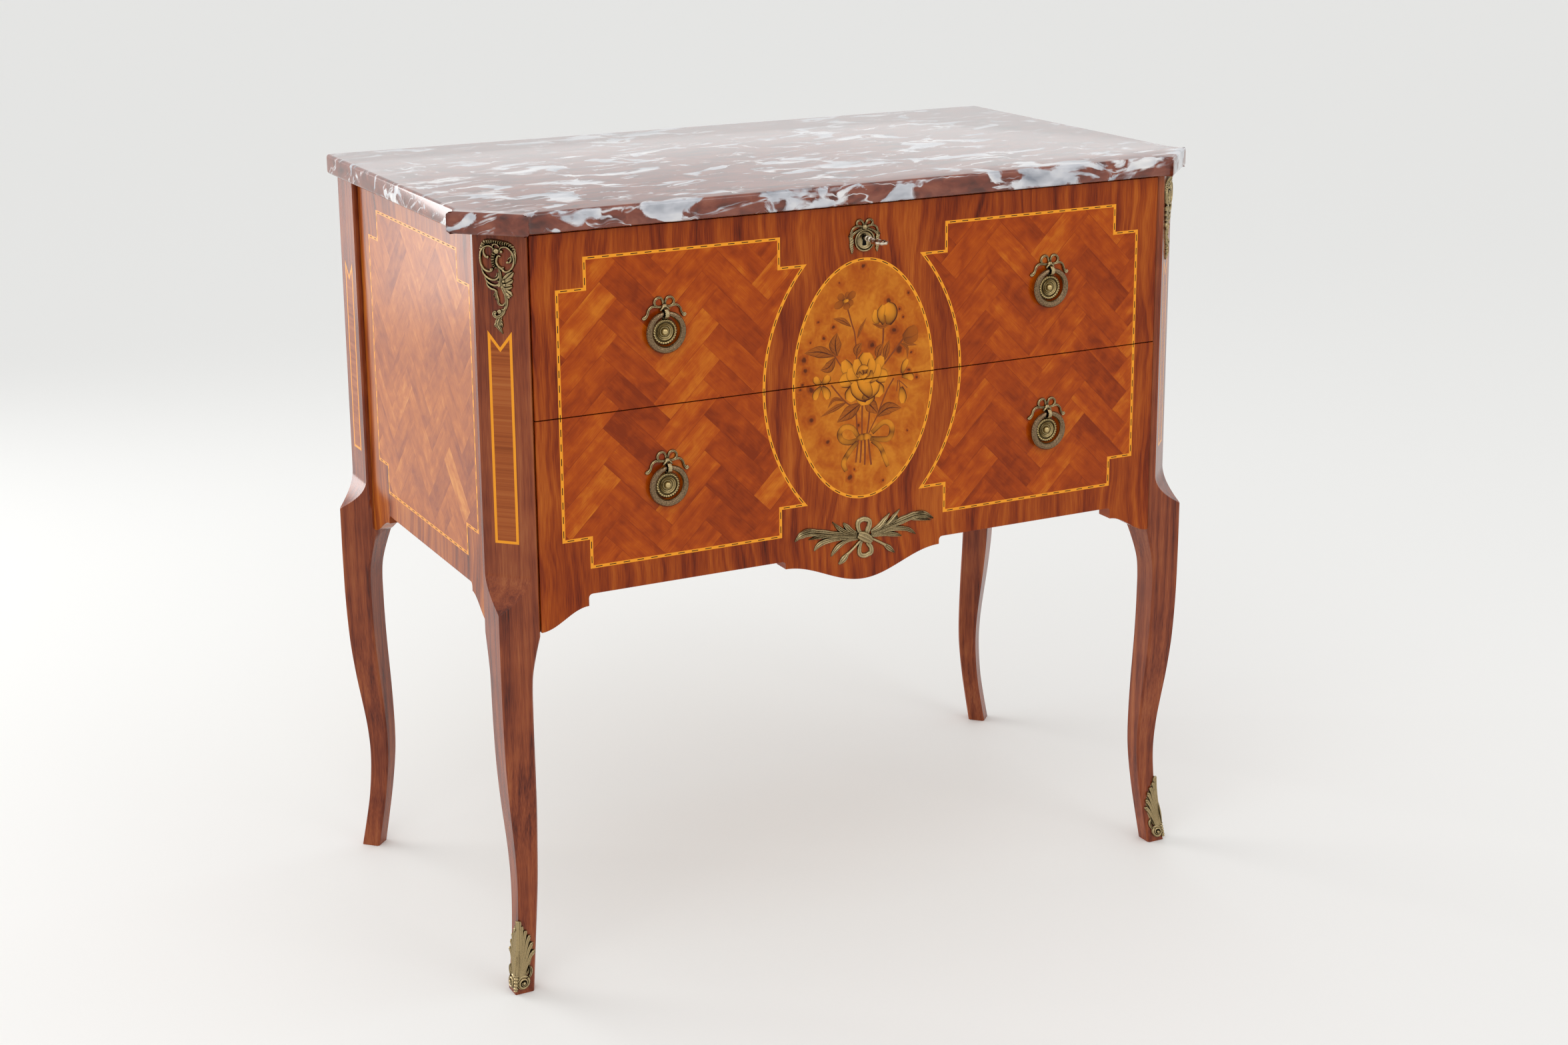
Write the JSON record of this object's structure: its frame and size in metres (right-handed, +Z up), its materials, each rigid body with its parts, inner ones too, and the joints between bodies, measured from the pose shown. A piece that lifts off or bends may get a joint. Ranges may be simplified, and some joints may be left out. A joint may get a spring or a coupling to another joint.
{
  "type": "commode chest",
  "caption": "Two-drawer commode chest on cabriole legs, with canted corner posts, a marble top, ring pulls and a lock with its key.",
  "frame": {"origin": "middle of the bounding box, on the floor under the feet", "axes": "+Z up, the drawer fronts face -Y, +X to the right seen from the front"},
  "size_m": [0.9056, 0.5364, 0.841],
  "materials": {
    "veneer": "French polished rosewood and kingwood veneer",
    "inner_wood": "bare planed softwood",
    "marble": "polished red-brown marble with white veins",
    "brass": "aged cast brass",
    "steel": "worn nickelled steel"
  },
  "bodies": {
    "carcass": {"back_left_post": "veneer", "back_panel": "inner_wood", "back_right_post": "veneer", "bottom_back_rail": "inner_wood", "bottom_front_rail": "inner_wood", "dust_board": "inner_wood", "front_left_post": "veneer", "front_right_post": "veneer", "left_corner_mount": "brass", "left_kicker": "inner_wood", "left_sabot": "brass", "left_side_panel": "veneer", "lower_left_runner": "inner_wood", "lower_left_stop": "inner_wood", "lower_right_runner": "inner_wood", "lower_right_stop": "inner_wood", "marble_top": "marble", "middle_back_rail": "inner_wood", "middle_front_rail": "inner_wood", "right_corner_mount": "brass", "right_kicker": "inner_wood", "right_sabot": "brass", "right_side_panel": "veneer", "top_back_rail": "inner_wood", "top_front_rail": "inner_wood", "upper_left_runner": "inner_wood", "upper_left_stop": "inner_wood", "upper_right_runner": "inner_wood", "upper_right_stop": "inner_wood"},
    "upper_drawer": {"escutcheon": "brass", "lock_bolt": "steel", "lock_case": "steel", "upper_drawer_back": "inner_wood", "upper_drawer_bottom": "inner_wood", "upper_drawer_front": "veneer", "upper_drawer_left_side": "inner_wood", "upper_drawer_right_side": "inner_wood", "upper_left_pull_nut": "brass", "upper_left_pull_plate": "brass", "upper_right_pull_nut": "brass", "upper_right_pull_plate": "brass"},
    "lower_drawer": {"apron_mount": "brass", "lower_drawer_back": "inner_wood", "lower_drawer_bottom": "inner_wood", "lower_drawer_front": "veneer", "lower_drawer_left_side": "inner_wood", "lower_drawer_right_side": "inner_wood", "lower_left_pull_nut": "brass", "lower_left_pull_plate": "brass", "lower_right_pull_nut": "brass", "lower_right_pull_plate": "brass"},
    "key": {"key": "steel"},
    "lower_left_pull_ring": {"lower_left_pull_ring": "brass"},
    "lower_right_pull_ring": {"lower_right_pull_ring": "brass"},
    "upper_left_pull_ring": {"upper_left_pull_ring": "brass"},
    "upper_right_pull_ring": {"upper_right_pull_ring": "brass"}
  },
  "joints": [
    {"name": "upper_drawer_slide", "type": "slide", "parent": "carcass", "child": "upper_drawer", "axis": [0, -1, 0], "range_m": [0, 0.3]},
    {"name": "lower_drawer_slide", "type": "slide", "parent": "carcass", "child": "lower_drawer", "axis": [0, -1, 0], "range_m": [0, 0.3]},
    {"name": "upper_left_ring_swing", "type": "hinge", "parent": "upper_drawer", "child": "upper_left_pull_ring", "pos_m": [-0.2345, -0.22495, 0.7247], "axis": [-1, 0, 0], "range_deg": [0, 110]},
    {"name": "upper_right_ring_swing", "type": "hinge", "parent": "upper_drawer", "child": "upper_right_pull_ring", "pos_m": [0.2345, -0.22495, 0.7247], "axis": [-1, 0, 0], "range_deg": [0, 110]},
    {"name": "lower_left_ring_swing", "type": "hinge", "parent": "lower_drawer", "child": "lower_left_pull_ring", "pos_m": [-0.2345, -0.22495, 0.5611], "axis": [-1, 0, 0], "range_deg": [0, 110]},
    {"name": "lower_right_ring_swing", "type": "hinge", "parent": "lower_drawer", "child": "lower_right_pull_ring", "pos_m": [0.2345, -0.22495, 0.5611], "axis": [-1, 0, 0], "range_deg": [0, 110]},
    {"name": "key_turn", "type": "hinge", "parent": "upper_drawer", "child": "key", "pos_m": [0, -0.21935, 0.782], "axis": [0, 1, 0], "range_deg": [-90, 90]}
  ]
}
